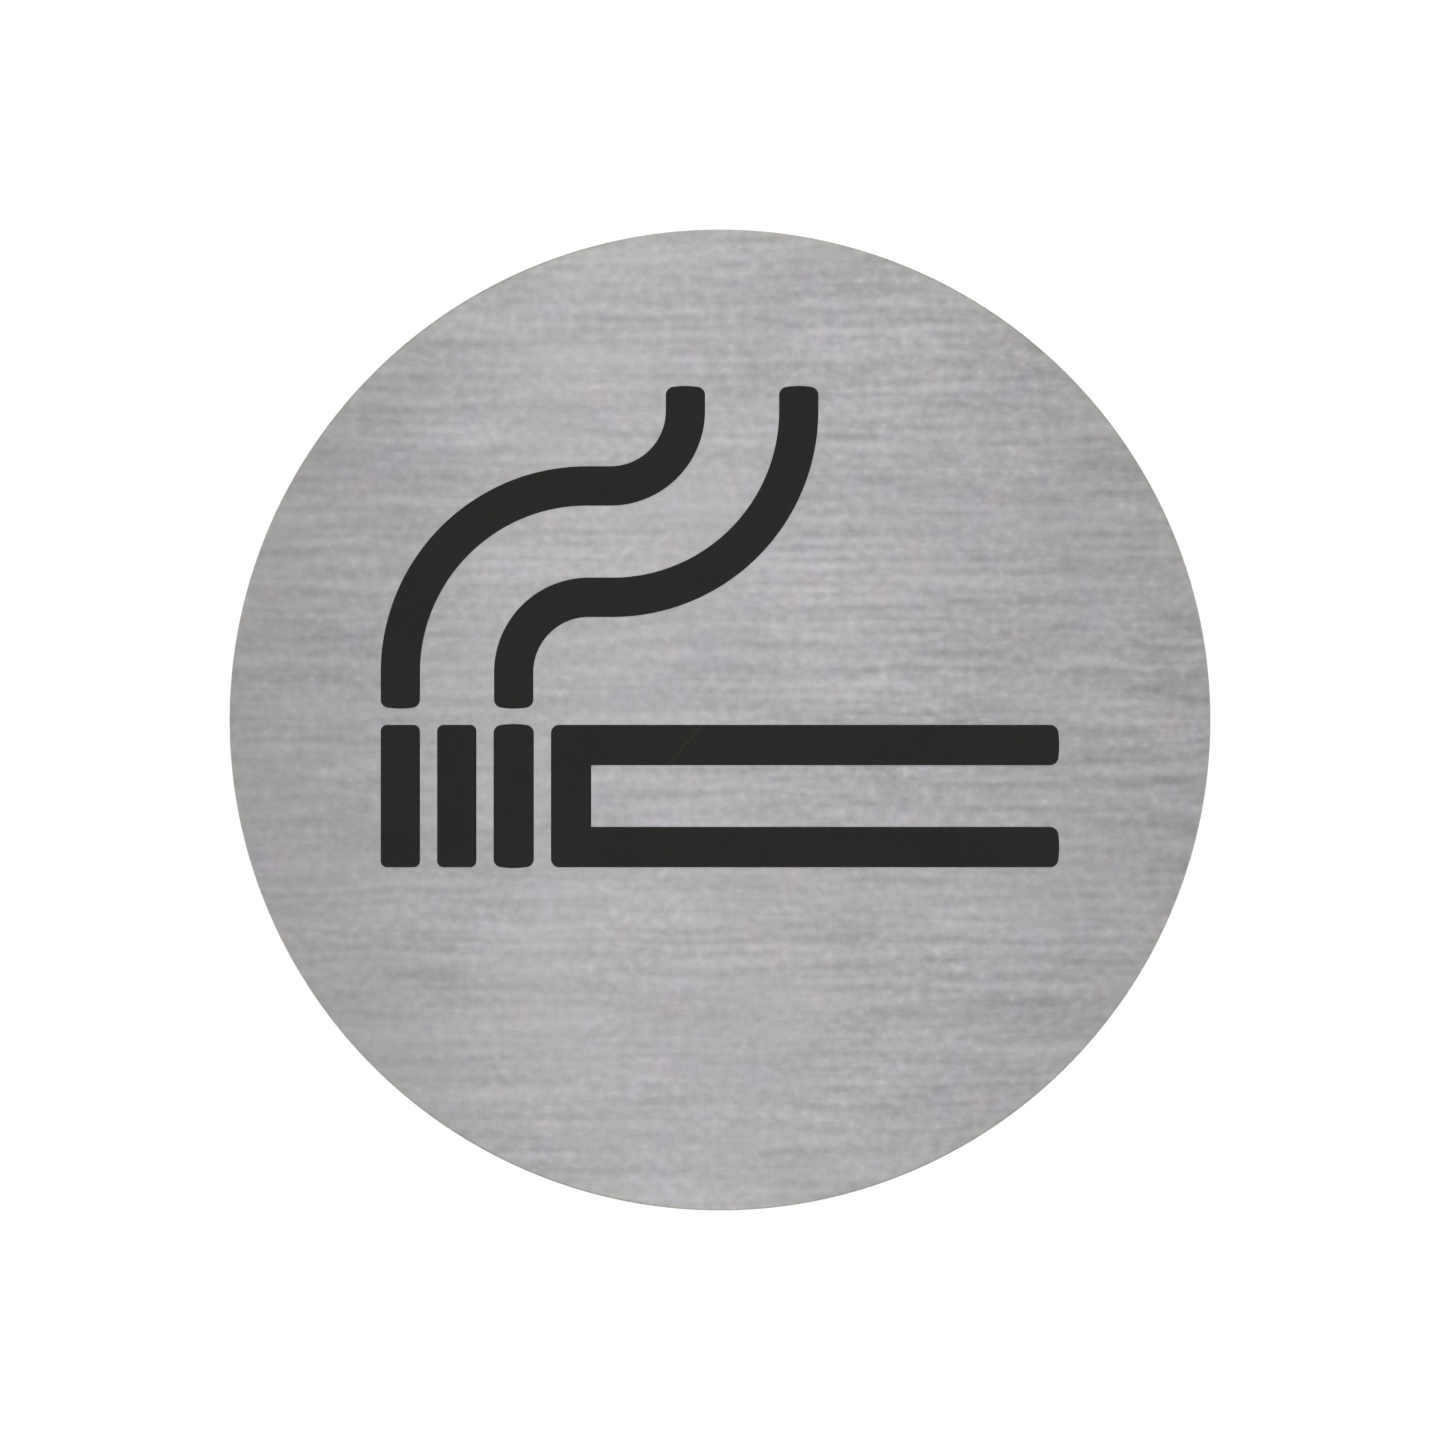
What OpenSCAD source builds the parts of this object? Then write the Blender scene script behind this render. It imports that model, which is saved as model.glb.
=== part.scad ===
// Round smoking area sign: a brushed steel plate with a black pictogram on its
// front and a foam adhesive pad on its back.
// The sign hangs upright: +Z is up, the front looks along -Y, and the origin is
// the centre of the adhesive face that goes against the wall.

/* [Plate] */
// Diameter of the round plate
plate_d = 100; // [90:1:200]
// Thickness of the steel sheet
plate_t = 1.5; // [0.8:0.1:3]
// Width of the broken edge round both faces
edge_break = 0.2; // [0.05:0.05:0.35]

/* [Adhesive pad] */
// Bare steel left round the pad
pad_margin = 5; // [1:0.5:15]
// Thickness of the double-sided foam pad
pad_t = 0.8; // [0.3:0.1:2]

/* [Pictogram strokes] */
// Thickness of the black film that the strokes are cut from
film_t = 0.1; // [0.05:0.01:0.3]
// Width of the cigarette's sides and of the right bar
stroke_w = 4.1; // [3:0.05:5]
// Radius of the corners of these strokes and of the smoke trails
corner_r = 0.85; // [0.4:0.05:1.3]
// How far a crowned stroke end bulges out past its corners
end_crown = 0.09; // [0.02:0.01:0.25]

/* [Glowing end] */
// Width of the left and middle bars
bar_w = 4; // [3:0.05:5]
// Radius of the corners of the left and middle bars
bar_corner_r = 0.65; // [0.3:0.05:1.2]
// Clear gap between neighbouring upright strokes
bar_gap = 1.75; // [1:0.01:2.5]

/* [Cigarette] */
// Height of the bars and of the cigarette outline
bar_h = 14.5; // [10:0.5:18]
// Length of the cigarette outline, open at its right end
body_len = 51.8; // [40:0.1:55]
// Depth of the pictogram's foot below the centre of the plate
foot_drop = 15; // [12:0.5:18]

/* [Smoke] */
// Width of the smoke trails
trail_w = 4; // [3:0.05:5]
// Clear gap between the bars and the feet of the smoke trails
smoke_gap = 1.75; // [1:0.05:3]
// Straight length at the foot of a trail
smoke_foot = 3.6; // [2:0.05:6]
// Centre-line radius of the wide bend
wide_bend_r = 19; // [12:0.1:20]
// Centre-line radius of the tight bend
tight_bend_r = 7.65; // [4:0.05:10]
// Level length between the two bends
smoke_run = 2.4; // [1:0.05:8]
// Straight length at the tip of a trail
smoke_tip = 2.45; // [1.5:0.05:6]

/* [Hidden] */
$fn = 96;

steel_colour = [0.67, 0.67, 0.68];
film_colour = [0.17, 0.165, 0.157];
foam_colour = [0.90, 0.90, 0.87];

plain_bar_count = 2;

plate_r = plate_d / 2;
pad_r = plate_r - pad_margin;
front = pad_t + plate_t;

bar_pitch = bar_w + bar_gap;
glow_w = plain_bar_count * bar_pitch + stroke_w + bar_gap;
pictogram_left = -(glow_w + body_len) / 2;
body_left = pictogram_left + glow_w;
left_bar_x = pictogram_left + bar_w / 2;
right_bar_x = pictogram_left + plain_bar_count * bar_pitch + stroke_w / 2;
trail_foot = bar_h + smoke_gap - foot_drop;

// Stands a flat outline up on its edge, `back` in front of the wall and `t` thick
module upright(back, t) {
    rotate([90, 0, 0])
        translate([0, 0, back])
            linear_extrude(t)
                children();
}

// Square-cut stretch of a stroke that runs up from the origin
module straight(w, len) {
    translate([-w / 2, 0])
        square([w, len]);
}

// What lies between the two corner arcs of a crowned end: a segment of the crown
// arc, which touches both corner arcs where the rays through their centres end.
// inset is the way from the centre line to the centre of a corner arc.
module crown(inset, r, bulge) {
    centre_r = (pow(inset, 2) + pow(bulge, 2)) / (2 * bulge);
    depth = centre_r - bulge;
    above = 2 * r;
    spread = inset * (depth + above) / depth;
    intersection() {
        translate([0, -depth])
            circle(centre_r + r);
        polygon([
            [-inset, 0],
            [inset, 0],
            [spread, above],
            [-spread, above],
        ]);
    }
}

// Rounded end of a stroke that runs up, from its corner centres to its tip
module stroke_end(w, r, bulge) {
    inset = w / 2 - r;
    for (side = [-1, 1])
        translate([side * inset, 0])
            circle(r);
    if (bulge > 0)
        crown(inset, r, bulge);
    else
        translate([-inset, 0])
            square([2 * inset, r]);
}

// Straight stroke that runs up from the origin, both of its ends rounded and
// bulging out past its length by the given amounts
module stroke(w, r, len, foot_bulge = 0, tip_bulge = 0) {
    translate([0, r]) {
        mirror([0, 1])
            stroke_end(w, r, foot_bulge);
        straight(w, len - 2 * r);
    }
    translate([0, len - r])
        stroke_end(w, r, tip_bulge);
}

// Quarter bend of a smoke trail round the origin, from its right side to its top
module quarter_bend(r) {
    outer_r = r + trail_w / 2;
    intersection() {
        difference() {
            circle(outer_r);
            circle(r - trail_w / 2);
        }
        square(outer_r);
    }
}

// Smoke trail that rises from the origin, swings over to the right and rises on
module smoke_trail(first_r, second_r) {
    first_bend = [first_r, smoke_foot];
    second_bend = first_bend + [smoke_run, first_r + second_r];

    translate([0, corner_r]) {
        mirror([0, 1])
            stroke_end(trail_w, corner_r, end_crown);
        straight(trail_w, smoke_foot - corner_r);
    }
    translate(first_bend) {
        mirror([1, 0])
            quarter_bend(first_r);
        translate([0, first_r])
            rotate(-90)
                straight(trail_w, smoke_run);
    }
    translate(second_bend) {
        mirror([0, 1])
            quarter_bend(second_r);
        translate([second_r, 0]) {
            straight(trail_w, smoke_tip - corner_r);
            translate([0, smoke_tip - corner_r])
                stroke_end(trail_w, corner_r, end_crown);
        }
    }
}

// Film strokes lie face to face on the front of the plate
module film(at) {
    color(film_colour)
        upright(front, film_t)
            translate(at)
                children();
}

module plate() {
    color(steel_colour)
        rotate([90, 0, 0])
            translate([0, 0, pad_t])
                rotate_extrude()
                    polygon([
                        [0, 0],
                        [plate_r - edge_break, 0],
                        [plate_r, edge_break],
                        [plate_r, plate_t - edge_break],
                        [plate_r - edge_break, plate_t],
                        [0, plate_t],
                    ]);
}

module adhesive_pad() {
    color(foam_colour)
        upright(0, pad_t)
            circle(pad_r);
}

// Upright side at the left and two long sides with crowned ends at the right
module cigarette_outline() {
    film([body_left, -foot_drop]) {
        translate([stroke_w / 2, 0])
            stroke(stroke_w, corner_r, bar_h);
        for (y = [stroke_w / 2, bar_h - stroke_w / 2])
            translate([0, y])
                rotate(-90)
                    stroke(stroke_w, corner_r, body_len - end_crown, 0, end_crown);
    }
}

// Plain bar, counted from the left, starting at 0
module glow_bar(i) {
    film([left_bar_x + i * bar_pitch, -foot_drop])
        stroke(bar_w, bar_corner_r, bar_h);
}

module glow_bar_left() {
    glow_bar(0);
}

module glow_bar_middle() {
    glow_bar(1);
}

module glow_bar_right() {
    film([right_bar_x, -foot_drop])
        stroke(stroke_w, corner_r, bar_h, end_crown, end_crown);
}

module smoke_trail_left() {
    film([left_bar_x, trail_foot])
        smoke_trail(wide_bend_r, tight_bend_r);
}

module smoke_trail_right() {
    film([right_bar_x, trail_foot])
        smoke_trail(tight_bend_r, wide_bend_r);
}

plate();
adhesive_pad();
cigarette_outline();
glow_bar_left();
glow_bar_middle();
glow_bar_right();
smoke_trail_left();
smoke_trail_right();
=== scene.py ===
# %% [markdown]
# # A round steel sign with a black pictogram
#
# The object is a wall sign: a disc of brushed stainless steel, black film cut to the
# shape of a burning cigarette, and a foam pad that sticks it to a wall. The solids come
# from the CAD model, in metres, upright, with the front looking along -Y. This lesson
# dresses them: it replaces each solid with a finer mesh of the same size and gives it a
# finish. Places and overall sizes come from the solids' own boxes, so the new pieces
# always lie where the solids do.

# %% Load the solids
import math

import bpy
import numpy as np
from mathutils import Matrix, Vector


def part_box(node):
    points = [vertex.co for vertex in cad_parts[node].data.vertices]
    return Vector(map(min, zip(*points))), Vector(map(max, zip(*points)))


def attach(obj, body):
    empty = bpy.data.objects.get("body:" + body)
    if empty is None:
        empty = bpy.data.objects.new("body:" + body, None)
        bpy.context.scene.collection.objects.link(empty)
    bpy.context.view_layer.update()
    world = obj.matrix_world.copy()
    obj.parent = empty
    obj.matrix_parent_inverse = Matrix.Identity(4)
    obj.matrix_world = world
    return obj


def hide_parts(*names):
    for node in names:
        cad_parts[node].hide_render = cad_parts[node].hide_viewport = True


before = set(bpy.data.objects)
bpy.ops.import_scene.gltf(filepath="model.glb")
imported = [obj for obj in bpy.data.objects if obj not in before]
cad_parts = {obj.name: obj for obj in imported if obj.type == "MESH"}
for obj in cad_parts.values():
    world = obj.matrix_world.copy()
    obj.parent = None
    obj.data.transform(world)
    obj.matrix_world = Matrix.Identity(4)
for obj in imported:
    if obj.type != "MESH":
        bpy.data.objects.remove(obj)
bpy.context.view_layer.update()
scene = bpy.context.scene
MM = 0.001

for node_name in sorted(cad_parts):
    low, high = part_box(node_name)
    print(node_name, "measures", [round(side / MM, 2) for side in high - low], "mm")

# %% [markdown]
# ## Driving sizes
#
# A box says how large a part is and where it lies. The plate gives the radius and the
# levels of its two faces, the right bar gives the width of the cigarette's sides, and
# the cigarette's depth is the film's thickness. Only what a box can't tell is written
# down here, in capitals: the width and the straight foot of the smoke trails, the radii
# of bends and corners, and how far a crowned end bulges out.

# %% Read the driving sizes from the boxes
plate_low, plate_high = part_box("plate")
pad_low, pad_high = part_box("adhesive_pad")
stroke_low, stroke_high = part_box("glow_bar_right")
film_low, film_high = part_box("cigarette_outline")

plate_r = plate_high.x
front_y = plate_low.y
back_y = plate_high.y
pad_r = pad_high.x
stroke_w = stroke_high.x - stroke_low.x
film_t = film_high.y - film_low.y

TRAIL_W = 4.0 * MM
CORNER_R = 0.85 * MM
BAR_CORNER_R = 0.65 * MM
END_CROWN = 0.09 * MM
INNER_CORNER_R = 0.06 * MM
WIDE_BEND_R = 19.0 * MM
TIGHT_BEND_R = 7.65 * MM
SMOKE_FOOT = 3.6 * MM
print("plate", round(2 * plate_r / MM, 1), "mm across, strokes", round(stroke_w / MM, 2), "mm wide")

# %% [markdown]
# ## The camera
#
# The photograph looks straight at the face, and the disc keeps its true circle, so the
# camera stands far off with a long lens. A camera without perspective would show the
# same from here, but a long lens keeps the other views natural. Its distance follows
# from the frame: the disc takes up a known share of the picture's width, and that share
# fixes the width of what the lens must see at the front face.

# %% Stand the camera in front of the face
DISC_PIXELS = 981.3
FRAME_PIXELS = 1440
LENS = 100
SENSOR = 36

view_width = 2 * plate_r * FRAME_PIXELS / DISC_PIXELS
camera_distance = view_width * LENS / SENSOR
camera_data = bpy.data.cameras.new("camera")
camera_data.lens = LENS
camera_data.sensor_width = SENSOR
camera_data.clip_start = 0.01
camera = bpy.data.objects.new("camera", camera_data)
camera.location = (0, front_y - camera_distance, 0)
camera.rotation_euler = (math.radians(90), 0, 0)
scene.collection.objects.link(camera)
scene.camera = camera
print("camera", round(camera_distance, 4), "m in front of the face")

# %% [markdown]
# ## From arrays to meshes
#
# Blender's own cylinders and curves could make this sign, but a formula keeps each size
# tied to the solids. So every new piece is a grid of points worked out with numpy. Two
# kinds of grid are enough: one that is turned about an axis, for the disc and the pad,
# and one that is carried round an outline, for the strokes. Both close into a ring, so
# they share the rule that joins their points into quads.

# %% Join grids into quads, and put arrays into meshes
def ring_quads(rows, columns):
    """Quads of a grid whose columns close into a ring.

    Each quad joins a point, the next one round the ring, and the two points that lie
    above them in the following row.
    """
    row, column = np.meshgrid(np.arange(rows - 1), np.arange(columns), indexing="ij")
    onward = (column + 1) % columns
    here = row * columns
    next_row = here + columns
    quads = np.stack([here + column, here + onward, next_row + onward, next_row + column], axis=-1)
    return quads.reshape(-1, 4)


def new_piece(name, points, faces, smooth):
    """Makes an object at the origin from points, faces and one smooth flag per face."""
    mesh = bpy.data.meshes.new(name)
    mesh.from_pydata(points.tolist(), [], faces)
    mesh.polygons.foreach_set("use_smooth", np.asarray(smooth, bool))
    mesh.update()
    piece = bpy.data.objects.new(name, mesh)
    scene.collection.objects.link(piece)
    print(name, "has", len(points), "points and", len(faces), "faces")
    return piece


# %% [markdown]
# ## Turned pieces
#
# A disc is its section turned about its axis, as on a lathe. The Screw modifier could
# turn it, but a grid worked out here also says which bands are flat and which are
# curved. The section starts and ends on the axis, so both poles are single points with
# a fan of triangles round them, and the mesh is closed. A flat face has a few rings
# inside it, which keep its quads from growing long and thin.

# %% Turn a section about the axis
TURN_STEPS = 360
FLAT_RINGS = 6


def flat_rings(r, y):
    """Points of a flat face from its middle to its edge, evenly spaced, without the middle."""
    radii = np.linspace(0, r, FLAT_RINGS + 1)[1:]
    return np.column_stack([radii, np.full(FLAT_RINGS, y)])


def lathe(name, section, smooth_rows):
    """Turns a section about the Y axis and closes it with a pole at each end.

    A point of the section at radius r and depth y becomes a ring: x is r times the
    cosine of the turn, z is r times its sine, and y stays as it is. smooth_rows says
    which bands between neighbouring rings are curved.
    """
    turn = np.linspace(0, 2 * np.pi, TURN_STEPS, endpoint=False)
    radius, depth = section[:, :1], section[:, 1:]
    rings = np.stack([
        radius * np.cos(turn),
        depth + 0 * turn,
        radius * np.sin(turn),
    ], axis=-1).reshape(-1, 3)
    poles = np.array([[0, section[0, 1], 0], [0, section[-1, 1], 0]])
    first_pole, last_pole = len(rings), len(rings) + 1

    column = np.arange(TURN_STEPS)
    onward = (column + 1) % TURN_STEPS
    last_row = (len(section) - 1) * TURN_STEPS
    first_fan = np.column_stack([np.full(TURN_STEPS, first_pole), column, onward])
    last_fan = np.column_stack([np.full(TURN_STEPS, last_pole), last_row + onward, last_row + column])
    quads = ring_quads(len(section), TURN_STEPS)[:, ::-1]
    faces = first_fan.tolist() + quads.tolist() + last_fan.tolist()
    smooth = np.concatenate([
        np.zeros(TURN_STEPS, bool),
        np.repeat(smooth_rows, TURN_STEPS),
        np.zeros(TURN_STEPS, bool),
    ])
    return new_piece(name, np.vstack([rings, poles]), faces, smooth)


# %% [markdown]
# ## The plate
#
# The disc is cut from 1.5 mm sheet and its edges are broken, which leaves a round of
# about two tenths of a millimetre. That round is what catches the light and tells the
# eye that this is metal. A Bevel modifier could make it, but a quarter circle in the
# section is just as short and needs no modifier.

# %% Work out the plate's section and turn it
EDGE_ROUND = 0.2 * MM
ROUND_STEPS = 6


def rounded_edge(r, y, reach):
    """Quarter circle that leads from a flat face at depth y to a rim at radius r.

    Its centre lies one round inside both. reach is the way from the face to the middle
    of the sheet, as plus or minus one.
    """
    angle = np.linspace(np.pi / 2, 0, ROUND_STEPS + 1)
    return np.column_stack([
        r - EDGE_ROUND + EDGE_ROUND * np.cos(angle),
        y + reach * EDGE_ROUND * (1 - np.sin(angle)),
    ])


front_rings = flat_rings(plate_r - EDGE_ROUND, front_y)
back_rings = flat_rings(plate_r - EDGE_ROUND, back_y)[::-1]
plate_section = np.vstack([
    front_rings[:-1],
    rounded_edge(plate_r, front_y, 1),
    rounded_edge(plate_r, back_y, -1)[::-1],
    back_rings[1:],
])
plate_bands = (plate_section[1:, 0] + plate_section[:-1, 0]) / 2
plate = lathe("steel_plate", plate_section, plate_bands > plate_r - EDGE_ROUND)

# %% [markdown]
# ## The foam pad
#
# Behind the plate sits a disc of foam tape. Cut foam pulls in a little between its two
# skins, because the cutter squeezes it, so its side is slightly hollow. A plain cylinder
# would do from the front, but from the side that hollow tells foam from plastic.

# %% Turn the foam pad
SIDE_HOLLOW = 0.08 * MM
SIDE_STEPS = 12

side_share = np.linspace(0, 1, SIDE_STEPS + 1)
side_section = np.column_stack([
    pad_r - SIDE_HOLLOW * np.sin(np.pi * side_share),
    pad_low.y + (pad_high.y - pad_low.y) * side_share,
])
pad_section = np.vstack([
    flat_rings(pad_r, pad_low.y)[:-1],
    side_section,
    flat_rings(pad_r, pad_high.y)[:-1][::-1],
])
pad_bands = (pad_section[1:, 0] + pad_section[:-1, 0]) / 2
foam_pad = lathe("foam_pad", pad_section, pad_bands > pad_r - 2 * SIDE_HOLLOW)

# %% Put the turned pieces on the body
for piece, node, slot in ((plate, "plate", "steel"), (foam_pad, "adhesive_pad", "foam")):
    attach(piece, "root")
    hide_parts(node)
    print(piece.name, "stands for", node)

# %% [markdown]
# ## Outlines made of arcs
#
# Each stroke of the pictogram is bounded by arcs joined by straight lines. Blender's
# curves could draw them, but a curve only comes near a circle, and an arc is exact. The
# straight lines need no points of their own: the end of one arc joins the start of the
# next. So an outline is a list of arcs, walked anticlockwise as the reader sees it. Each
# point carries the direction that leads out of the stroke, which the film's edge needs.

# %% Make arcs and stroke ends
ARC_DEGREES = 1.5


def arc(centre, radius, start, end):
    """Points of an arc and their outward directions.

    A point is the centre plus the radius times the cosine and sine of an angle that
    runs from start to end. Walked clockwise, the arc is a hollow of the outline, and
    the way out of the stroke is towards its centre.
    """
    steps = max(5, math.ceil(abs(end - start) / ARC_DEGREES))
    angle = np.radians(np.linspace(start, end, steps + 1))
    spoke = np.column_stack([np.cos(angle), np.sin(angle)])
    return np.array(centre) + radius * spoke, spoke * np.sign(end - start)


def plain_end(corner_line, heading, width):
    """Arcs round the flat end of a stroke: one corner, then the other.

    corner_line is the middle between the two corner centres, and heading is the way
    the stroke runs, in degrees.
    """
    inset = width / 2 - BAR_CORNER_R
    turn = heading - 90
    across = np.array([math.cos(math.radians(turn)), math.sin(math.radians(turn))])
    return [
        arc(corner_line + inset * across, BAR_CORNER_R, turn, turn + 90),
        arc(corner_line - inset * across, BAR_CORNER_R, turn + 90, turn + 180),
    ]


def crowned_end(corner_line, heading, width):
    """Arcs round the crowned end of a stroke: a corner, the crown and the other corner.

    The crown arc touches both corner arcs, so its centre lies on the stroke's centre
    line, where the two rays through the corner centres meet. Its radius follows from
    the chord between them and the bulge.
    """
    inset = width / 2 - CORNER_R
    turn = heading - 90
    across = np.array([math.cos(math.radians(turn)), math.sin(math.radians(turn))])
    ahead = np.array([-across[1], across[0]])
    centre_r = (inset**2 + END_CROWN**2) / (2 * END_CROWN)
    fan = math.degrees(math.asin(inset / centre_r))
    crown_centre = corner_line - (centre_r - END_CROWN) * ahead
    return [
        arc(corner_line + inset * across, CORNER_R, turn, turn + 90 - fan),
        arc(crown_centre, centre_r + CORNER_R, turn + 90 - fan, turn + 90 + fan),
        arc(corner_line - inset * across, CORNER_R, turn + 90 + fan, turn + 180),
    ]


def joined(arcs):
    """One outline from a list of arcs, with each point that two arcs share kept once."""
    points = np.vstack([part[0] for part in arcs])
    outward = np.vstack([part[1] for part in arcs])
    gap = np.linalg.norm(points - np.roll(points, 1, axis=0), axis=1)
    kept = gap > 0.001 * MM
    return points[kept], outward[kept]


# %% [markdown]
# ## The outlines
#
# A bar is two stroke ends: flat ones on the left and middle bars, crowned ones on the
# right. The cigarette is a channel that is open to the right, with two rounded corners,
# two arms with crowned ends and two corners inside that are all but sharp. A smoke trail
# rises, swings to the right through a quarter turn and rises again through another. Its
# two sides are the same quarter turns, half a stroke further out or further in. All of
# them could be traced from the photograph point by point, but traced corners never
# quite agree, and these follow one rule.

# %% Bars, cigarette and smoke trail
def plain_bar(width, height):
    """Upright bar with flat ends that fills its box."""
    foot = np.array([width / 2, BAR_CORNER_R])
    tip = np.array([width / 2, height - BAR_CORNER_R])
    return joined(plain_end(foot, 270, width) + plain_end(tip, 90, width))


def crowned_bar(width, height):
    """Upright bar with crowned ends that fills its box."""
    foot = np.array([width / 2, END_CROWN + CORNER_R])
    tip = np.array([width / 2, height - END_CROWN - CORNER_R])
    return joined(crowned_end(foot, 270, width) + crowned_end(tip, 90, width))


def cigarette_shape(length, height):
    """Channel that is open to the right, with arms as wide as the right bar."""
    end_x = length - END_CROWN - CORNER_R
    inner_x = stroke_w + INNER_CORNER_R
    lower_y, upper_y = stroke_w / 2, height - stroke_w / 2
    arcs = [arc((CORNER_R, CORNER_R), CORNER_R, 180, 270)]
    arcs += crowned_end(np.array([end_x, lower_y]), 0, stroke_w)
    arcs += [arc((inner_x, stroke_w + INNER_CORNER_R), INNER_CORNER_R, 270, 180)]
    arcs += [arc((inner_x, height - stroke_w - INNER_CORNER_R), INNER_CORNER_R, 180, 90)]
    arcs += crowned_end(np.array([end_x, upper_y]), 0, stroke_w)
    arcs += [arc((CORNER_R, height - CORNER_R), CORNER_R, 90, 180)]
    return joined(arcs)


def trail_outline(width, height, first_r, second_r):
    """Smoke trail inside a box, from the radii of its two bends and its foot.

    The level run between the bends and the straight tip are what the box leaves.
    """
    half_w = TRAIL_W / 2
    run = width - TRAIL_W - first_r - second_r
    foot = np.array([half_w, END_CROWN + CORNER_R])
    first = np.array([half_w + first_r, END_CROWN + SMOKE_FOOT])
    second = first + [run, first_r + second_r]
    tip = np.array([width - half_w, height - END_CROWN - CORNER_R])
    arcs = crowned_end(foot, 270, TRAIL_W)
    arcs += [arc(first, first_r - half_w, 180, 90)]
    arcs += [arc(second, second_r + half_w, 270, 360)]
    arcs += crowned_end(tip, 90, TRAIL_W)
    arcs += [arc(second, second_r - half_w, 360, 270)]
    arcs += [arc(first, first_r + half_w, 90, 180)]
    return joined(arcs)


# %% [markdown]
# ## Film strokes
#
# The strokes are film a tenth of a millimetre thick. A flat shape with Solidify would
# have razor edges, and real film has a soft shoulder where the knife went through. So a
# small section climbs the cut side and rolls over onto the top, and it is carried round
# the outline. The flat top and the underside each close it with one face.

# %% Carry the edge section round an outline
SHOULDER = 0.04 * MM
SHOULDER_STEPS = 4

roll = np.linspace(0, np.pi / 2, SHOULDER_STEPS + 1)
edge_inset = np.concatenate([[0], SHOULDER * (1 - np.cos(roll))])
edge_height = np.concatenate([[0], film_t - SHOULDER * (1 - np.sin(roll))])
print("the edge of the film climbs", np.round(edge_height / MM, 3).tolist(), "mm")


def film_piece(name, node, shape):
    """Film of the given outline, laid on the plate inside the box of a CAD node.

    A point of the grid is the outline's point, moved in by the section's inset and out
    from the plate by its height. The outline's own axes become X and Z.
    """
    points, outward = shape
    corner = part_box(node)[0]
    flat = points - edge_inset[:, None, None] * outward
    height = np.broadcast_to(edge_height[:, None], flat.shape[:2])
    grid = np.stack([corner.x + flat[..., 0], front_y - height, corner.z + flat[..., 1]], axis=-1)
    rows, columns = height.shape
    quads = ring_quads(rows, columns)
    underside = list(range(columns))[::-1]
    top = list(range((rows - 1) * columns, rows * columns))
    smooth = np.append(np.ones(len(quads), bool), [False, False])
    piece = new_piece(name, grid.reshape(-1, 3), quads.tolist() + [underside, top], smooth)
    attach(piece, "root")
    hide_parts(node)
    return piece


def box_size(node):
    """Width and height of a CAD node's box, as the reader sees it."""
    low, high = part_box(node)
    return high.x - low.x, high.z - low.z


# %% Cut the film
film_pieces = []
for side, shape in (("left", plain_bar), ("middle", plain_bar), ("right", crowned_bar)):
    node = f"glow_bar_{side}"
    film_pieces.append(film_piece(f"film_{node}", node, shape(*box_size(node))))

cigarette = cigarette_shape(*box_size("cigarette_outline"))
film_pieces.append(film_piece("film_cigarette", "cigarette_outline", cigarette))

for side, bends in (("left", (WIDE_BEND_R, TIGHT_BEND_R)), ("right", (TIGHT_BEND_R, WIDE_BEND_R))):
    node = f"smoke_trail_{side}"
    film_pieces.append(film_piece(f"film_{node}", node, trail_outline(*box_size(node), *bends)))

# %% [markdown]
# ## Helpers for node trees
#
# Materials are node trees, and a few small helpers keep them readable. One adds a node
# and fills or links its inputs: a value that is a socket gets linked, and any other
# value is written in. The next ones do sums with numbers and vectors and let a value
# climb between two limits. The last two start a node group with named sockets and place
# it in a tree.

# %% Add nodes and do sums
def add(tree, kind, inputs=(), **settings):
    """Adds a node, applies its settings and fills or links the inputs given."""
    node = tree.nodes.new(kind)
    for key, value in settings.items():
        setattr(node, key, value)
    for key, value in dict(inputs).items():
        if isinstance(value, bpy.types.NodeSocket):
            tree.links.new(value, node.inputs[key])
        else:
            node.inputs[key].default_value = value
    return node


def sums(tree, operation, *terms):
    """Result of a Math node on numbers or sockets."""
    return add(tree, "ShaderNodeMath", enumerate(terms), operation=operation).outputs[0]


def vector_sums(tree, operation, *terms):
    """Vector that a Vector Math node gives."""
    return add(tree, "ShaderNodeVectorMath", enumerate(terms), operation=operation).outputs[0]


def vector_measure(tree, operation, *terms):
    """Number that a Vector Math node gives, such as a length or a dot product."""
    return add(tree, "ShaderNodeVectorMath", enumerate(terms), operation=operation).outputs["Value"]


def coordinate(tree, place, axis):
    """One of the three coordinates of a place."""
    return add(tree, "ShaderNodeSeparateXYZ", {"Vector": place}).outputs[axis]


def climb(tree, value, start, end, low=0.0, high=1.0, curve="LINEAR"):
    """Goes from low to high while the value goes from start to end, and stays level outside."""
    limits = {"Value": value, "From Min": start, "From Max": end, "To Min": low, "To Max": high}
    return add(tree, "ShaderNodeMapRange", limits, interpolation_type=curve).outputs[0]


# %% Start groups and place them
def start_group(name, inputs, outputs):
    """Empty shader group, with the sockets that bring its values in and take them out.

    An input without a default is a vector, and all the others are numbers.
    """
    group = bpy.data.node_groups.new(name, "ShaderNodeTree")
    for socket, value in inputs.items():
        kind = "NodeSocketVector" if value is None else "NodeSocketFloat"
        made = group.interface.new_socket(socket, in_out="INPUT", socket_type=kind)
        if value is not None:
            made.default_value = value
    for socket in outputs:
        group.interface.new_socket(socket, in_out="OUTPUT", socket_type="NodeSocketFloat")
    given = group.nodes.new("NodeGroupInput").outputs
    result = group.nodes.new("NodeGroupOutput").inputs
    return group, given, result


def placed(tree, group, inputs):
    """Places a group in a tree, fills or links its inputs and returns its outputs."""
    return add(tree, "ShaderNodeGroup", inputs, node_tree=group).outputs


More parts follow.
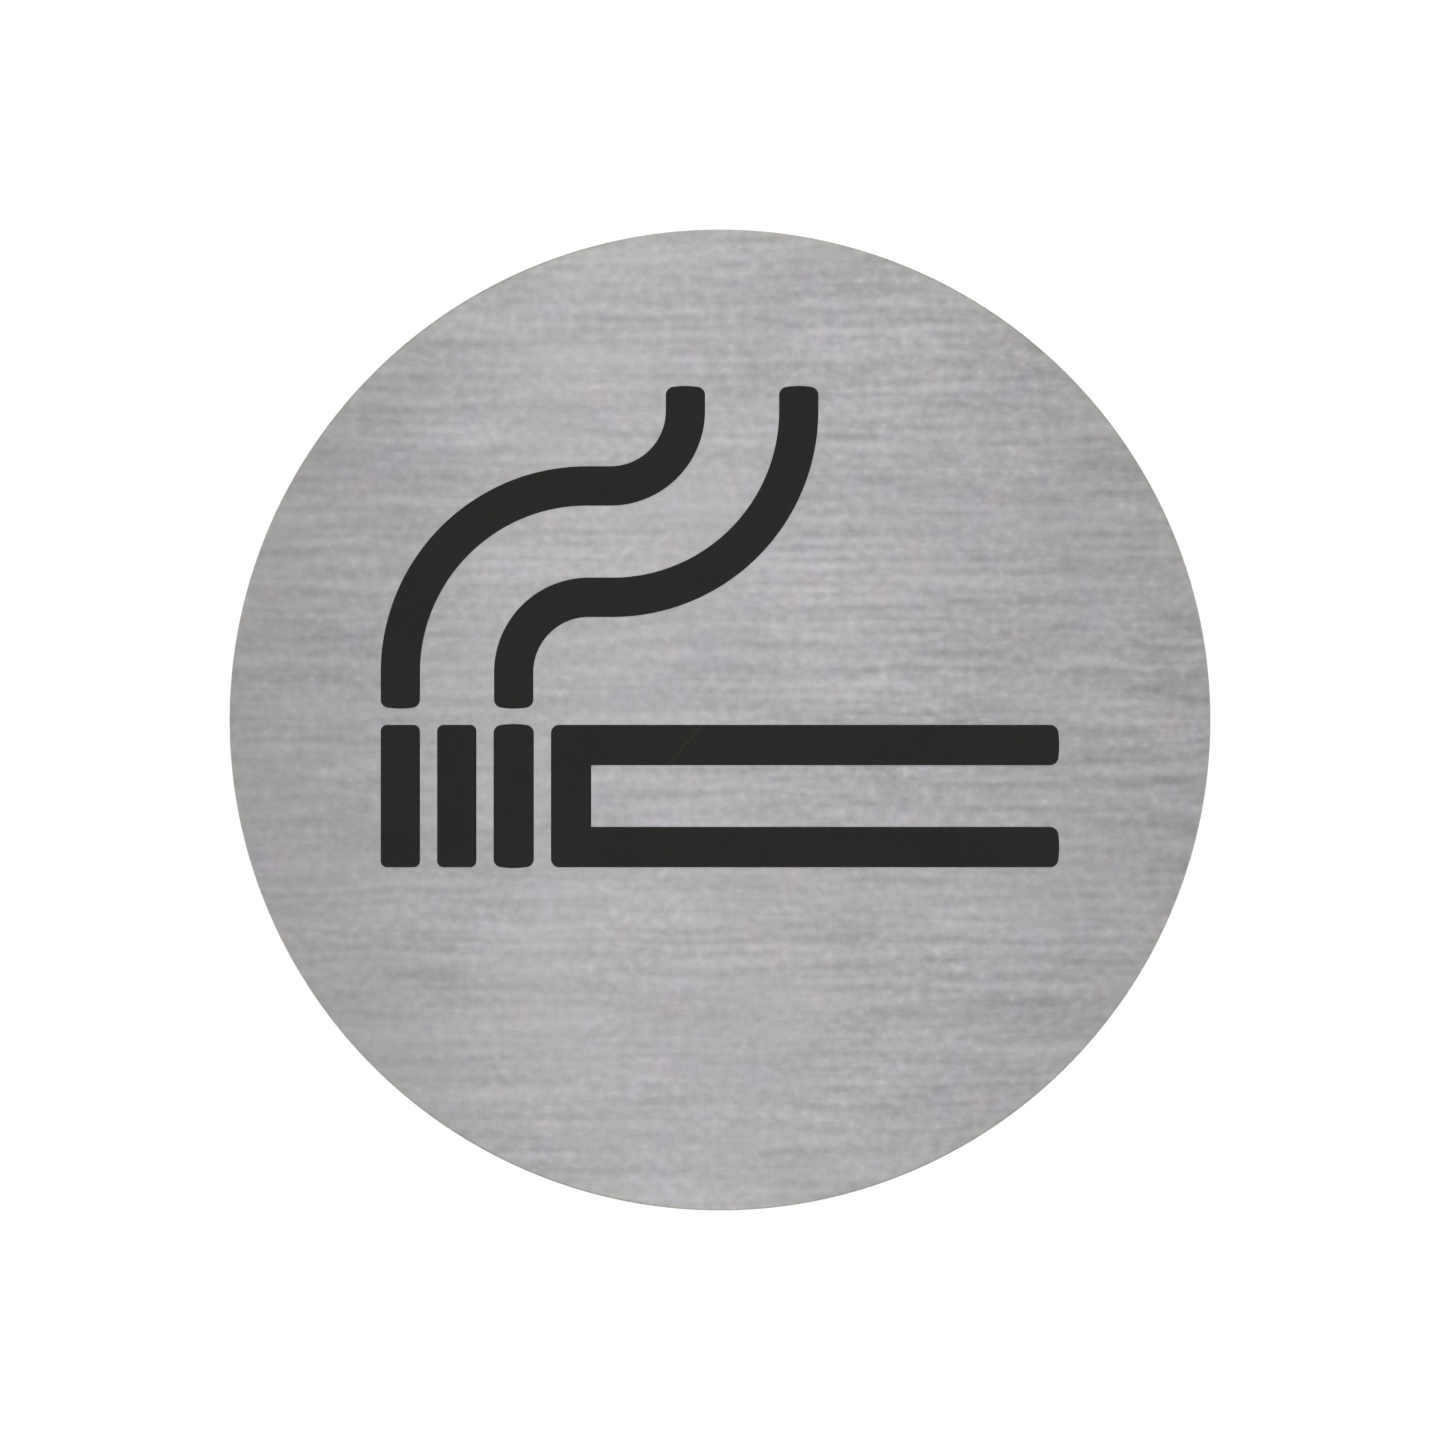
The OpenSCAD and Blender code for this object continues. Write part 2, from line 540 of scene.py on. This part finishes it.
# %% [markdown]
# ## Two shared effects
#
# Four of the finishes run in one direction: the brushed face, the cut rim, the rolled
# back and the coating of the adhesive. A picture of steel could do for one of them at
# one size, but noise in millimetres does for all four and stays sharp in a close look.
# So they share one group, **grain**. It stretches smooth noise along X into four layers:
# drag lines as long as a finger nail, dashes a third of that, speckles that are hardly
# longer than wide, and scratches as long as the lines and as thin as a hair. A slow
# drift can bend them all a little, as the belt did. The other group, **mottle**, is
# soft cloudiness of any size, which keeps a finish from being one flat colour.
#
# Both give values around zero, so a material adds as much of them as it needs.

# %% Build the grain group
DRIFT_CELLS_PER_MM = (0.07, 0.16, 0.16)
LINE_THINNING = 0.9

grain, given, result = start_group(
    "grain",
    {
        "Vector": None,
        "Line Length": 14.0,
        "Line Width": 0.87,
        "Dash Length": 4.4,
        "Speckle Length": 1.1,
        "Scratch Width": 0.06,
        "Wander": 0.9,
    },
    ["Lines", "Dashes", "Speckles", "Scratches"],
)
drift = add(grain, "ShaderNodeTexNoise", {
    "Vector": vector_sums(grain, "MULTIPLY", given["Vector"], DRIFT_CELLS_PER_MM),
    "Scale": 1.0,
    "Detail": 1.0,
})
shift = sums(grain, "MULTIPLY", sums(grain, "SUBTRACT", drift.outputs[0], 0.5), given["Wander"])
lift = add(grain, "ShaderNodeCombineXYZ", {"Z": shift}).outputs[0]
bent = vector_sums(grain, "ADD", given["Vector"], lift)


def stretched_noise(length, width, start, detail=0.0):
    """Noise in cells of the given length along X and width across, centred on zero.

    start is where in the noise the pattern begins, so that no two layers agree.
    """
    cell = add(grain, "ShaderNodeCombineXYZ", {"X": length, "Y": width, "Z": width}).outputs[0]
    noise = add(grain, "ShaderNodeTexNoise", {
        "Vector": vector_sums(grain, "ADD", vector_sums(grain, "DIVIDE", bent, cell), start),
        "Scale": 1.0,
        "Detail": detail,
        "Roughness": 0.6,
    })
    return sums(grain, "SUBTRACT", noise.outputs[0], 0.5)


line_width = given["Line Width"]
thin_width = sums(grain, "MULTIPLY", line_width, LINE_THINNING)
layers = {
    "Lines": stretched_noise(given["Line Length"], thin_width, (3.1, 0.4, 7.7)),
    "Dashes": stretched_noise(given["Dash Length"], line_width, (11.6, 5.3, 2.2)),
    "Speckles": stretched_noise(given["Speckle Length"], line_width, (29.4, 8.8, 13.5), 1.0),
    "Scratches": stretched_noise(given["Line Length"], given["Scratch Width"], (41.9, 6.1, 0.8), 3.0),
}
for layer, value in layers.items():
    grain.links.new(value, result[layer])
print("grain gives", list(layers))

# %% Build the mottle group
mottle, given, result = start_group("mottle", {"Vector": None, "Size": 5.0, "Detail": 1.0}, ["Clouds"])
cloud = add(mottle, "ShaderNodeTexNoise", {
    "Vector": given["Vector"],
    "Scale": sums(mottle, "DIVIDE", 1.0, given["Size"]),
    "Detail": given["Detail"],
    "Roughness": 0.5,
})
mottle.links.new(sums(mottle, "SUBTRACT", cloud.outputs[0], 0.5), result["Clouds"])
print("groups:", [group.name for group in bpy.data.node_groups])

# %% [markdown]
# ## Starting and finishing a material
#
# Every material reads Object coordinates. They are turned into millimetres at once,
# because that is the unit in which a finish is judged: a streak is so many millimetres
# long, whatever the object. What is the same all over the surface is written straight
# into the shader's sockets, and what varies is linked to them at the end.

# %% Start a material, weigh its patterns and finish it
def start_material(name, **sockets):
    """Material with a Principled shader, its sockets set, and millimetre coordinates.

    A socket is named with underscores for its spaces.
    """
    material = bpy.data.materials.new(name)
    material.use_nodes = True
    tree = material.node_tree
    shader = tree.nodes["Principled BSDF"]
    for key, value in sockets.items():
        shader.inputs[key.replace("_", " ")].default_value = value
    place = tree.nodes.new("ShaderNodeTexCoord").outputs["Object"]
    return material, tree, vector_sums(tree, "MULTIPLY", place, (1 / MM, 1 / MM, 1 / MM))


def layered(tree, start, *patterns):
    """A starting value plus patterns, each times its own share."""
    total = start
    for pattern, share in patterns:
        total = sums(tree, "MULTIPLY_ADD", pattern, share, total)
    return total


def shaded(tree, colour, factor):
    """A colour times a factor that varies over the surface."""
    grey = add(tree, "ShaderNodeCombineXYZ", {"X": factor, "Y": factor, "Z": factor}).outputs[0]
    return vector_sums(tree, "MULTIPLY", colour, grey)


def bump(tree, height, depth):
    """Normal of a surface whose height varies by depth, in metres."""
    return add(tree, "ShaderNodeBump", {"Height": height, "Distance": depth}).outputs[0]


def finish_material(material, **values):
    """Links what varies to the shader's sockets, named as in start_material."""
    tree = material.node_tree
    shader = tree.nodes["Principled BSDF"]
    for key, value in values.items():
        tree.links.new(value, shader.inputs[key.replace("_", " ")])
    print(material.name, "is made of", len(tree.nodes), "nodes")


# %% [markdown]
# ## Brushed face
#
# A belt drawn sideways over the sheet leaves grooves along X. Light that falls on them
# spreads up and down but hardly sideways, so a lamp in front shows as an upright band
# with soft edges. Painting that band into the colour would be wrong from every other
# side. Anisotropy makes it from the lamps: the tangent runs along the brushing, and a
# quarter turn puts the spread across it.
#
# The tones are the grain group's lines, dashes and speckles, each with its own share,
# and a little of its scratches, which only a close look resolves. Here and there a groove
# glints: these glints are painted highlights, the peaks of the speckles counted once more
# into the colour. The belt bit harder towards the right, so the grain is stronger there.

# %% Weigh the brushed grain
FACE_COLOUR = (0.3418, 0.3418, 0.3418)
LINE_SHARE = 0.27
DASH_SHARE = 0.32
SPECKLE_SHARE = 0.37
# Painted highlights: where the speckles rise above this level, the colour is brightened as glints
PAINTED_GLINT_LEVEL = 0.12
PAINTED_GLINT_SHARE = 0.28
SCRATCH_SHARE = 0.16
CLOUD_SHARE = 0.12
CLOUD_SIZE = 6.0
LONG_CLOUDS = (0.5, 1.0, 1.0)
BITE_SPAN = (-8.0, 20.0)
BITE_RANGE = (0.88, 1.12)
UNEVEN_SHARE = 1.1
UNEVEN_SIZE = 14.0


def above(tree, level, pattern):
    """How far a pattern rises above a level, and zero where it stays below it."""
    return sums(tree, "MAXIMUM", sums(tree, "SUBTRACT", pattern, level), 0.0)


brushed_face, tree, place = start_material(
    "brushed_face", Metallic=1.0, Anisotropic=1.0, Anisotropic_Rotation=0.25)
tracks = placed(tree, grain, {"Vector": place})
brushing_and_glints = layered(
    tree, 0.0,
    (tracks["Lines"], LINE_SHARE),
    (tracks["Dashes"], DASH_SHARE),
    (tracks["Speckles"], SPECKLE_SHARE),
    # painted highlights: the peaks of the speckles brighten the colour as glints
    (above(tree, PAINTED_GLINT_LEVEL, tracks["Speckles"]), PAINTED_GLINT_SHARE),
)
bite = climb(tree, coordinate(tree, place, "X"), *BITE_SPAN, *BITE_RANGE, "SMOOTHSTEP")
uneven = placed(tree, mottle, {"Vector": place, "Size": UNEVEN_SIZE, "Detail": 1.0})["Clouds"]
bite = layered(tree, bite, (uneven, UNEVEN_SHARE))
long_place = vector_sums(tree, "MULTIPLY", place, LONG_CLOUDS)
clouds = placed(tree, mottle, {"Vector": long_place, "Size": CLOUD_SIZE, "Detail": 0.0})["Clouds"]
tone = sums(tree, "MULTIPLY_ADD", brushing_and_glints, bite, 1.0)
tone = layered(tree, tone, (tracks["Scratches"], SCRATCH_SHARE), (clouds, CLOUD_SHARE))
face_grey = shaded(tree, FACE_COLOUR, tone)

# %% [markdown]
# ## Tints of the face
#
# Most of the steel is a neutral grey, and faint patches of blue and pink lie over it
# without following the brushing. Mixed in evenly they would tint everything, so each
# tint only counts where its noise rises above a level. The blue takes over a part of
# the pink's pattern, so the two overlap here and there. One narrow ring along the rim
# is a little warmer, from the heat of the laser that cut the disc.

# %% Tint the face
PATCH_SIZE = 4.2
PINK_TINT = 0.23
PINK_LEVEL = 0.0
BLUE_TINT = 0.23
BLUE_LEVEL = -0.04
BLUE_OWN_SHARE = 0.9
BLUE_PINK_SHARE = 0.4


def tint_patches(tree, place, start):
    """Soft round patches for one of the tints, moved so that no two tints agree."""
    moved = vector_sums(tree, "ADD", place, start)
    return placed(tree, mottle, {"Vector": moved, "Size": PATCH_SIZE, "Detail": 3.0})["Clouds"]


warm = tint_patches(tree, place, (40.0, 0.0, 0.0))
cold = tint_patches(tree, place, (0.0, 0.0, 60.0))
cold = layered(tree, 0.0, (cold, BLUE_OWN_SHARE), (warm, BLUE_PINK_SHARE))
tint = add(tree, "ShaderNodeCombineXYZ", {
    "X": layered(tree, 1.0, (above(tree, PINK_LEVEL, warm), PINK_TINT)),
    "Y": 1.0,
    "Z": layered(tree, 1.0, (above(tree, BLUE_LEVEL, cold), BLUE_TINT)),
}).outputs[0]

# %% Warm the outer ring and finish the face
HEAT_RING = 0.6
HEAT_COLOUR = (1.010, 1.006, 0.950)
FACE_ROUGHNESS = 0.33
BRUSHING_MAP = "along_brushing"

in_plane = vector_sums(tree, "MULTIPLY", place, (1.0, 0.0, 1.0))
ring_start, ring_end = plate_r / MM - HEAT_RING, (plate_r - EDGE_ROUND) / MM
heat = climb(tree, vector_measure(tree, "LENGTH", in_plane), ring_start, ring_end, curve="SMOOTHSTEP")
# A Mix node has a pair of inputs for each kind of value, and 4 and 5 are the vectors
warmth = add(tree, "ShaderNodeMix", {
    "Factor": heat, 4: (1, 1, 1), 5: HEAT_COLOUR}, data_type="VECTOR").outputs[1]
tinted = vector_sums(tree, "MULTIPLY", face_grey, tint)
along = add(tree, "ShaderNodeTangent", direction_type="UV_MAP", uv_map=BRUSHING_MAP)
finish_material(
    brushed_face,
    Base_Color=vector_sums(tree, "MULTIPLY", tinted, warmth),
    Roughness=layered(tree, FACE_ROUGHNESS, (tracks["Dashes"], 0.12)),
    Normal=bump(tree, tracks["Scratches"], depth=0.0045 * MM),
    Tangent=along.outputs[0],
)

# %% [markdown]
# ## Cut rim and rolled back
#
# The laser leaves fine lines across the rim, from face to face. The grain group runs
# along X, so its coordinates are turned until X follows the depth of the sheet. The cut
# is duller than the sheet, and where the edges were broken it is polished again, so the
# rim grows brighter towards both faces. The back keeps the dull skin of the rolling
# mill, with long faint roll lines that run upright. One metal could cover all three
# sides, but a brushed rim or back would give the sign away as a picture on a disc.

# %% Make the cut rim
CUT_COLOUR = (0.408, 0.404, 0.384)
CUT_TONE = 0.72

cut_rim, tree, place = start_material("cut_rim", Metallic=1.0, Roughness=0.45)
across_rim = add(tree, "ShaderNodeMapping", {"Vector": place, "Rotation": (0, 0, math.radians(90))})
cuts = placed(tree, grain, {
    "Vector": across_rim.outputs[0], "Line Length": 4.0, "Line Width": 0.18, "Dash Length": 1.0,
    "Speckle Length": 0.3, "Scratch Width": 0.1, "Wander": 0.0})
middle_y = (front_y + back_y) / 2
half_sheet = (back_y - front_y) / 2 / MM
off_middle = sums(tree, "SUBTRACT", coordinate(tree, place, "Y"), middle_y / MM)
off_middle = sums(tree, "ABSOLUTE", off_middle)
polish = climb(tree, off_middle, half_sheet - EDGE_ROUND / MM, half_sheet, CUT_TONE, 1.0)
tone = layered(tree, polish, (cuts["Lines"], 0.6), (cuts["Dashes"], 0.35))
finish_material(
    cut_rim,
    Base_Color=shaded(tree, CUT_COLOUR, tone),
    Normal=bump(tree, cuts["Lines"], depth=0.03 * MM),
)

# %% Make the rolled back
BACK_COLOUR = (0.40, 0.40, 0.40)
BACK_ROUGHNESS = 0.42

rolled_back, tree, place = start_material("rolled_back", Metallic=1.0)
upright = add(tree, "ShaderNodeMapping", {"Vector": place, "Rotation": (0, math.radians(90), 0)})
rolls = placed(tree, grain, {
    "Vector": upright.outputs[0], "Line Length": 40.0, "Line Width": 1.1, "Dash Length": 9.0,
    "Speckle Length": 0.8, "Scratch Width": 0.2, "Wander": 0.0})
tone = layered(tree, 1.0, (rolls["Lines"], 0.26), (rolls["Scratches"], 0.20), (rolls["Speckles"], 0.10))
finish_material(
    rolled_back,
    Base_Color=shaded(tree, BACK_COLOUR, tone),
    Roughness=layered(tree, BACK_ROUGHNESS, (rolls["Speckles"], 0.2)),
    Normal=bump(tree, rolls["Scratches"], depth=0.004 * MM),
)

# %% [markdown]
# ## Dressing the plate
#
# Three objects could carry the three finishes, but the plate is one piece of sheet. So
# it stays one mesh, and each face gets the number of its material: what lies inside the
# rim is front or back, and the rest is rim. The tangent of the brushing comes from a map
# that is simply the plate seen from the front, so that its first axis runs along the
# brushing.

# %% Dress the plate
def face_centres(mesh):
    """Middle of each face of a mesh, one row of three numbers per face."""
    centres = np.empty(len(mesh.polygons) * 3)
    mesh.polygons.foreach_get("center", centres)
    return centres.reshape(-1, 3)


plate_mesh = plate.data
for material in (brushed_face, cut_rim, rolled_back):
    plate_mesh.materials.append(material)
centres = face_centres(plate_mesh)
inside_rim = np.hypot(centres[:, 0], centres[:, 2]) < plate_r - EDGE_ROUND / 2
zone = np.where(inside_rim, np.where(centres[:, 1] < middle_y, 0, 2), 1)
plate_mesh.polygons.foreach_set("material_index", zone.astype(np.int32))
print("faces brushed, cut, rolled:", np.bincount(zone).tolist())

# %% Map the brushing
corner_points = np.empty(len(plate_mesh.loops), np.int32)
plate_mesh.loops.foreach_get("vertex_index", corner_points)
plate_points = np.empty(len(plate_mesh.vertices) * 3)
plate_mesh.vertices.foreach_get("co", plate_points)
seen_from_front = plate_points.reshape(-1, 3)[corner_points][:, [0, 2]] / (2 * plate_r) + 0.5
plate_mesh.uv_layers.new(name=BRUSHING_MAP).data.foreach_set("uv", seen_from_front.ravel())
print("map of the brushing has", len(seen_from_front), "corners")

# %% [markdown]
# ## Black film
#
# Matt black film sends back very little light, and some of that little is a dull sheen
# from its skin. So the colour is a touch darker than the photograph's black, and the
# sheen makes up the rest. The skin isn't perfectly even: it carries faint orange peel
# and haze. One straight hairline runs across both arms of the cigarette, strongest at
# its top end. It is too fine to be a groove in the mesh, so it is drawn from two
# distances: how far a point lies beside the line, and how far down it. Its two ends are
# written in millimetres from the middle of the plate.

# %% Draw the hairline
FILM_COLOUR = (0.0208, 0.0196, 0.0172)
FILM_ROUGHNESS = 0.62
HAIRLINE_TOP = (-1.83, -0.51)
HAIRLINE_FOOT = (-14.0, -14.6)
HAIRLINE_HALF_W = 0.16
HAIRLINE_FOOT_SHARE = 0.3

matt_film, tree, place = start_material(
    "matt_film", Roughness=FILM_ROUGHNESS, Specular_IOR_Level=0.14)
run_x = HAIRLINE_FOOT[0] - HAIRLINE_TOP[0]
run_z = HAIRLINE_FOOT[1] - HAIRLINE_TOP[1]
hairline_length = math.hypot(run_x, run_z)
along_x, along_z = run_x / hairline_length, run_z / hairline_length
from_top = vector_sums(tree, "SUBTRACT", place, (HAIRLINE_TOP[0], 0, HAIRLINE_TOP[1]))
aside = vector_measure(tree, "DOT_PRODUCT", from_top, (along_z, 0, -along_x))
down = vector_measure(tree, "DOT_PRODUCT", from_top, (along_x, 0, along_z))
narrow = climb(tree, sums(tree, "ABSOLUTE", aside), 0.0, HAIRLINE_HALF_W, 1.0, 0.0, "SMOOTHSTEP")
fading = climb(tree, down, 0.0, hairline_length, 1.0, HAIRLINE_FOOT_SHARE)
hairline = sums(tree, "MULTIPLY", narrow, fading)
print("hairline", round(hairline_length, 1), "mm long")

# %% Finish the black film
peel = placed(tree, mottle, {"Vector": place, "Size": 0.35, "Detail": 2.0})["Clouds"]
haze = placed(tree, mottle, {"Vector": place, "Size": 9.0, "Detail": 2.0})["Clouds"]
tone = layered(tree, 1.0, (haze, 0.16), (peel, 0.25), (hairline, 0.5))
finish_material(
    matt_film,
    Base_Color=shaded(tree, FILM_COLOUR, tone),
    Roughness=layered(tree, FILM_ROUGHNESS, (peel, 0.12)),
    Normal=bump(tree, peel, depth=0.015 * MM),
)
for piece in film_pieces:
    piece.data.materials.append(matt_film)

# %% [markdown]
# ## Foam and adhesive
#
# The pad's side shows closed foam cells a fifth of a millimetre wide. Modelled one by
# one they would take many thousands of faces, so they are Voronoi cells, pressed in by
# the bump. The face towards the wall is a skin of clear adhesive that takes a soft
# shine. It was coated in one direction, which leaves faint bands, and larger cells show
# through it.

# %% Make the foam side
FOAM_COLOUR = (0.78, 0.77, 0.73)

foam_side, tree, place = start_material("foam_side", Roughness=0.85, Specular_IOR_Level=0.3)
cells = add(tree, "ShaderNodeTexVoronoi", {"Vector": place, "Scale": 5.0}, feature="F1").outputs["Distance"]
cloud = placed(tree, mottle, {"Vector": place, "Size": 3.0})["Clouds"]
finish_material(
    foam_side,
    Base_Color=shaded(tree, FOAM_COLOUR, layered(tree, 1.05, (cells, -0.18), (cloud, 0.1))),
    Normal=bump(tree, cells, depth=0.05 * MM),
)

# %% Make the adhesive skin
SKIN_COLOUR = (0.815, 0.80, 0.765)
SKIN_ROUGHNESS = 0.35

adhesive_skin, tree, place = start_material(
    "adhesive_skin", Roughness=SKIN_ROUGHNESS, Specular_IOR_Level=0.5)
coating = placed(tree, grain, {
    "Vector": place, "Line Length": 30.0, "Line Width": 1.2, "Dash Length": 6.0,
    "Speckle Length": 1.2, "Scratch Width": 0.5, "Wander": 0.4})
cells = add(tree, "ShaderNodeTexVoronoi", {"Vector": place, "Scale": 2.0}, feature="F1").outputs["Distance"]
tone = layered(tree, 1.05, (coating["Lines"], 0.08), (coating["Speckles"], 0.06), (cells, -0.12))
finish_material(
    adhesive_skin,
    Base_Color=shaded(tree, SKIN_COLOUR, tone),
    Roughness=layered(tree, SKIN_ROUGHNESS, (coating["Speckles"], 0.5)),
    Normal=bump(tree, cells, depth=0.06 * MM),
)

# %% Dress the pad
foam_mesh = foam_pad.data
foam_mesh.materials.append(foam_side)
foam_mesh.materials.append(adhesive_skin)
faces_wall = face_centres(foam_mesh)[:, 1] > pad_high.y - 0.001 * MM
foam_mesh.polygons.foreach_set("material_index", faces_wall.astype(np.int32))
print("faces of foam, faces of adhesive:", np.bincount(faces_wall).tolist())

# %% [markdown]
# ## Floor and world
#
# The photograph shows the sign on plain white. A wall behind the sign could give that
# white, but it would take the sign's shadow, and the photograph shows none. So the world
# gives it, to the camera and to reflections, with about half as much light for matt
# surfaces, so that the lamps can still model them. A pale round of floor lies below the
# sign, out of the photograph's view. Its edge fades out, its underside lets light
# through, and reflections look past it to the white.

# %% Lay the floor
FLOOR_DROP = 0.06
FLOOR_R = 0.19
FLOOR_STEPS = 96

turn = np.linspace(0, 2 * np.pi, FLOOR_STEPS, endpoint=False)
floor_z = np.full(FLOOR_STEPS, -plate_r - FLOOR_DROP)
floor_points = np.column_stack([FLOOR_R * np.cos(turn), FLOOR_R * np.sin(turn), floor_z])
floor = new_piece("floor", floor_points, [list(range(FLOOR_STEPS))], [False])

# %% Paint the floor
FLOOR_COLOUR = (0.88, 0.88, 0.88, 1)
FADE_START = 0.5

floor_paint = bpy.data.materials.new("floor_paint")
floor_paint.use_nodes = True
floor.data.materials.append(floor_paint)
tree = floor_paint.node_tree
tree.nodes.remove(tree.nodes["Principled BSDF"])
place = tree.nodes.new("ShaderNodeTexCoord").outputs["Object"]
out = vector_measure(tree, "LENGTH", vector_sums(tree, "MULTIPLY", place, (1.0, 1.0, 0.0)))
edge = climb(tree, out, FADE_START * FLOOR_R, FLOOR_R, curve="SMOOTHSTEP")
underneath = tree.nodes.new("ShaderNodeNewGeometry").outputs["Backfacing"]
mirrored = tree.nodes.new("ShaderNodeLightPath").outputs["Is Glossy Ray"]
gone = sums(tree, "MAXIMUM", sums(tree, "MAXIMUM", edge, underneath), mirrored)
paint = add(tree, "ShaderNodeBsdfDiffuse", {"Color": FLOOR_COLOUR}).outputs[0]
clear = tree.nodes.new("ShaderNodeBsdfTransparent").outputs[0]
blend = add(tree, "ShaderNodeMixShader", {0: gone, 1: paint, 2: clear}).outputs[0]
tree.links.new(blend, tree.nodes["Material Output"].inputs["Surface"])
print("floor lies", round(FLOOR_DROP / MM), "mm below the sign")

# %% Fill the world with white
WORLD_FOR_MATT = 0.55

world = bpy.data.worlds.new("white_studio")
scene.world = world
world.use_nodes = True
tree = world.node_tree
rays = tree.nodes.new("ShaderNodeLightPath").outputs
seen = sums(tree, "MAXIMUM", rays["Is Camera Ray"], rays["Is Glossy Ray"])
seen = sums(tree, "MAXIMUM", seen, rays["Is Transmission Ray"])
background = tree.nodes["Background"]
background.inputs["Color"].default_value = (1, 1, 1, 1)
tree.links.new(climb(tree, seen, 0.0, 1.0, WORLD_FOR_MATT, 1.0), background.inputs["Strength"])
world.cycles.sampling_method = "NONE"
print("world strength is 1 for the camera and", WORLD_FOR_MATT, "for matt surfaces")

# %% [markdown]
# ## Lamps
#
# One wide softbox could light the sign, but its face would lose the bright upright band.
# So two tall strips hang in front, one on each side of the middle. The brushing draws
# them up and down into that band, and their own width and distance give it its soft
# sides. Two wings stand further out: they light the rim, and they show in the face when
# someone looks at the sign from the side. One softbox lights the top edge and one the
# back.

# %% Hang the lamps
def lamp(name, place, size, brightness):
    """Rectangular lamp that looks at the middle of the sign.

    brightness is what the lamp's surface would read in the picture, and the power that
    gives it is pi times the brightness times the area.
    """
    data = bpy.data.lights.new(name, "AREA")
    data.shape = "RECTANGLE"
    data.size, data.size_y = size
    data.energy = math.pi * brightness * size[0] * size[1]
    light = bpy.data.objects.new(name, data)
    light.location = place
    aim = -light.location
    light.rotation_euler = aim.to_track_quat("-Z", "Y").to_euler()
    light.visible_camera = False
    scene.collection.objects.link(light)
    print(name, round(data.energy, 2), "W")


lamp("front_strip", place=(-0.026, -0.55, 0.05), size=(0.095, 0.60), brightness=0.66)
lamp("side_strip", place=(0.056, -0.55, 0.05), size=(0.070, 0.60), brightness=0.42)
lamp("left_wing", place=(-0.39, -0.39, -0.05), size=(0.10, 0.60), brightness=0.5)
lamp("right_wing", place=(0.39, -0.39, -0.05), size=(0.10, 0.60), brightness=0.5)
lamp("top_softbox", place=(0.0, -0.25, 0.60), size=(0.35, 0.35), brightness=0.9)
lamp("back_softbox", place=(0.30, 0.50, 0.40), size=(0.40, 0.40), brightness=2.5)

# %% [markdown]
# ## Colours as written
#
# The Standard view shows a colour as it is written, and everything else about the view
# stays at its default.

# %% Set the view
scene.view_settings.view_transform = "Standard"
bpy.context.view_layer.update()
